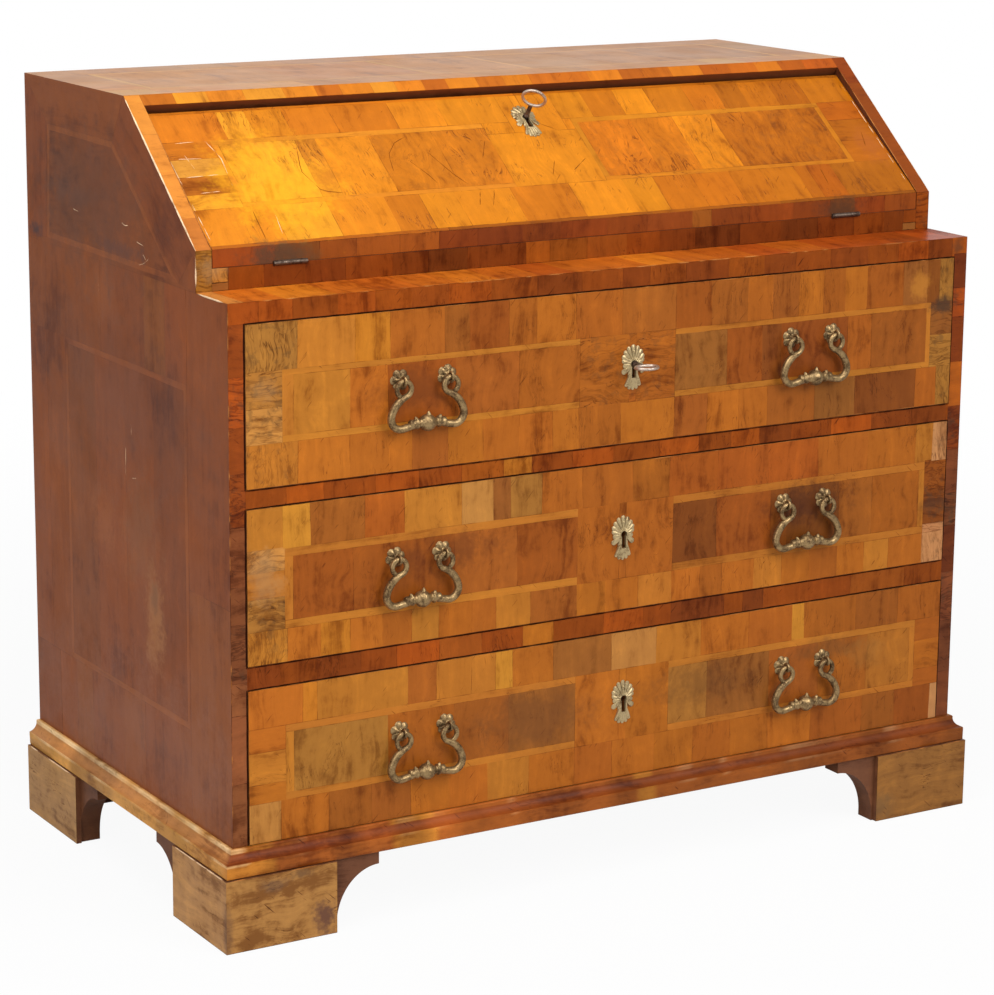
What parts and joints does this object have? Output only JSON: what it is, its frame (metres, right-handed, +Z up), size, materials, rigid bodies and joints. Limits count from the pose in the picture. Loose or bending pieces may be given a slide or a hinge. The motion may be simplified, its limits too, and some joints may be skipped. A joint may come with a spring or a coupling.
{
  "type": "slant-front bureau",
  "caption": "Slant-front walnut bureau: a fall that opens onto pull-out lopers, pigeonholes behind it, long drawers with bail handles, and bracket feet.",
  "frame": {"origin": "on the floor, at the middle of the bounding box of the whole bureau with its drawer key", "axes": "+X to the right as seen from the front, +Y to the back, +Z up; the drawers open towards -Y"},
  "size_m": [1.126, 0.637, 1],
  "materials": {
    "walnut_case": "aged French-polished walnut veneer",
    "walnut_front": "polished walnut veneer with crossbanding and light stringing",
    "plinth_wood": "worn walnut, waxed",
    "secondary_wood": "bare planed softwood, darkened by age",
    "brass": "cast brass, dulled and toned by age",
    "iron": "worn iron"
  },
  "bodies": {
    "case": {"side_left": "walnut_case", "side_right": "walnut_case", "top_board": "walnut_case", "fall_stop_rail": "walnut_case", "back_boards": "secondary_wood", "bottom_board": "secondary_wood", "ledge_board": "walnut_case", "desk_board": "walnut_case", "rail_upper": "walnut_case", "rail_lower": "walnut_case", "dust_boards": "secondary_wood", "drawer_runners": "secondary_wood", "moulding_front": "plinth_wood", "moulding_left": "plinth_wood", "moulding_right": "plinth_wood", "foot_front_left": "plinth_wood", "foot_front_right": "plinth_wood", "foot_back_left": "plinth_wood", "foot_back_right": "plinth_wood", "pigeonhole_case": "walnut_case", "hinge_carcass_leaves": "iron", "hinge_pins": "iron"},
    "fall": {"fall_board": "walnut_front", "hinge_fall_leaves": "iron", "fall_lock": "iron", "fall_escutcheon": "brass"},
    "fall_bolt": {"fall_bolt": "iron"},
    "fall_key": {"fall_key": "iron"},
    "loper_left": {"loper_left": "secondary_wood"},
    "loper_right": {"loper_right": "secondary_wood"},
    "drawer_1": {"drawer_1_front": "walnut_front", "drawer_1_box": "secondary_wood", "drawer_1_bottom": "secondary_wood", "drawer_1_escutcheon": "brass", "drawer_1_handle_posts": "brass", "drawer_1_lock": "iron"},
    "drawer_1_bail_left": {"drawer_1_bail_left": "brass"},
    "drawer_1_bail_right": {"drawer_1_bail_right": "brass"},
    "drawer_2": {"drawer_2_front": "walnut_front", "drawer_2_box": "secondary_wood", "drawer_2_bottom": "secondary_wood", "drawer_2_escutcheon": "brass", "drawer_2_handle_posts": "brass", "drawer_2_lock": "iron"},
    "drawer_2_bail_left": {"drawer_2_bail_left": "brass"},
    "drawer_2_bail_right": {"drawer_2_bail_right": "brass"},
    "drawer_3": {"drawer_3_front": "walnut_front", "drawer_3_box": "secondary_wood", "drawer_3_bottom": "secondary_wood", "drawer_3_escutcheon": "brass", "drawer_3_handle_posts": "brass", "drawer_3_lock": "iron"},
    "drawer_3_bail_left": {"drawer_3_bail_left": "brass"},
    "drawer_3_bail_right": {"drawer_3_bail_right": "brass"},
    "drawer_1_key": {"drawer_1_key": "iron"},
    "drawer_1_bolt": {"drawer_1_bolt": "iron"},
    "small_drawer_1": {"small_drawer_1": "walnut_case"},
    "small_drawer_2": {"small_drawer_2": "walnut_case"},
    "small_drawer_3": {"small_drawer_3": "walnut_case"},
    "small_drawer_4": {"small_drawer_4": "walnut_case"}
  },
  "joints": [
    {"name": "fall_hinge", "type": "hinge", "parent": "case", "child": "fall", "pos_m": [0, -0.18755, 0.8152], "axis": [1, 0, 0], "range_deg": [0, 142.71]},
    {"name": "fall_key_turn", "type": "hinge", "parent": "fall", "child": "fall_key", "pos_m": [-0.004, -0.04081, 0.94861], "axis": [0, -0.6055, 0.7959], "range_deg": [-57, 180]},
    {"name": "fall_bolt_slide", "type": "slide", "parent": "fall", "child": "fall_bolt", "axis": [0, 0.7959, 0.6055], "range_m": [-0.0029, 0.0091]},
    {"name": "loper_left_slide", "type": "slide", "parent": "case", "child": "loper_left", "axis": [0, -1, 0], "range_m": [0, 0.2]},
    {"name": "loper_right_slide", "type": "slide", "parent": "case", "child": "loper_right", "axis": [0, -1, 0], "range_m": [0, 0.2]},
    {"name": "drawer_1_slide", "type": "slide", "parent": "case", "child": "drawer_1", "axis": [0, -1, 0], "range_m": [0, 0.42]},
    {"name": "drawer_1_bail_left_swing", "type": "hinge", "parent": "drawer_1", "child": "drawer_1_bail_left", "pos_m": [-0.285, -0.28305, 0.677], "axis": [-1, 0, 0], "range_deg": [0, 90]},
    {"name": "drawer_1_bail_right_swing", "type": "hinge", "parent": "drawer_1", "child": "drawer_1_bail_right", "pos_m": [0.292, -0.28305, 0.677], "axis": [-1, 0, 0], "range_deg": [0, 90]},
    {"name": "drawer_2_slide", "type": "slide", "parent": "case", "child": "drawer_2", "axis": [0, -1, 0], "range_m": [0, 0.42]},
    {"name": "drawer_2_bail_left_swing", "type": "hinge", "parent": "drawer_2", "child": "drawer_2_bail_left", "pos_m": [-0.291, -0.28305, 0.4585], "axis": [-1, 0, 0], "range_deg": [0, 90]},
    {"name": "drawer_2_bail_right_swing", "type": "hinge", "parent": "drawer_2", "child": "drawer_2_bail_right", "pos_m": [0.287, -0.28305, 0.4585], "axis": [-1, 0, 0], "range_deg": [0, 90]},
    {"name": "drawer_3_slide", "type": "slide", "parent": "case", "child": "drawer_3", "axis": [0, -1, 0], "range_m": [0, 0.42]},
    {"name": "drawer_3_bail_left_swing", "type": "hinge", "parent": "drawer_3", "child": "drawer_3_bail_left", "pos_m": [-0.284, -0.28305, 0.2375], "axis": [-1, 0, 0], "range_deg": [0, 90]},
    {"name": "drawer_3_bail_right_swing", "type": "hinge", "parent": "drawer_3", "child": "drawer_3_bail_right", "pos_m": [0.293, -0.28305, 0.2375], "axis": [-1, 0, 0], "range_deg": [0, 90]},
    {"name": "drawer_1_key_turn", "type": "hinge", "parent": "drawer_1", "child": "drawer_1_key", "pos_m": [0.016, -0.27185, 0.666], "axis": [0, -1, 0], "range_deg": [-90, 180]},
    {"name": "drawer_1_bolt_slide", "type": "slide", "parent": "drawer_1", "child": "drawer_1_bolt", "axis": [0, 0, 1], "range_m": [-0.0046, 0.0091]},
    {"name": "small_drawer_1_slide", "type": "slide", "parent": "case", "child": "small_drawer_1", "axis": [0, -1, 0], "range_m": [0, 0.15]},
    {"name": "small_drawer_2_slide", "type": "slide", "parent": "case", "child": "small_drawer_2", "axis": [0, -1, 0], "range_m": [0, 0.15]},
    {"name": "small_drawer_3_slide", "type": "slide", "parent": "case", "child": "small_drawer_3", "axis": [0, -1, 0], "range_m": [0, 0.15]},
    {"name": "small_drawer_4_slide", "type": "slide", "parent": "case", "child": "small_drawer_4", "axis": [0, -1, 0], "range_m": [0, 0.15]}
  ],
  "couplings": [
    {"joint": "fall_bolt_slide", "follows": "fall_key_turn", "m_per_rad": 0.0028648},
    {"joint": "drawer_1_bolt_slide", "follows": "drawer_1_key_turn", "m_per_rad": 0.0028648}
  ]
}
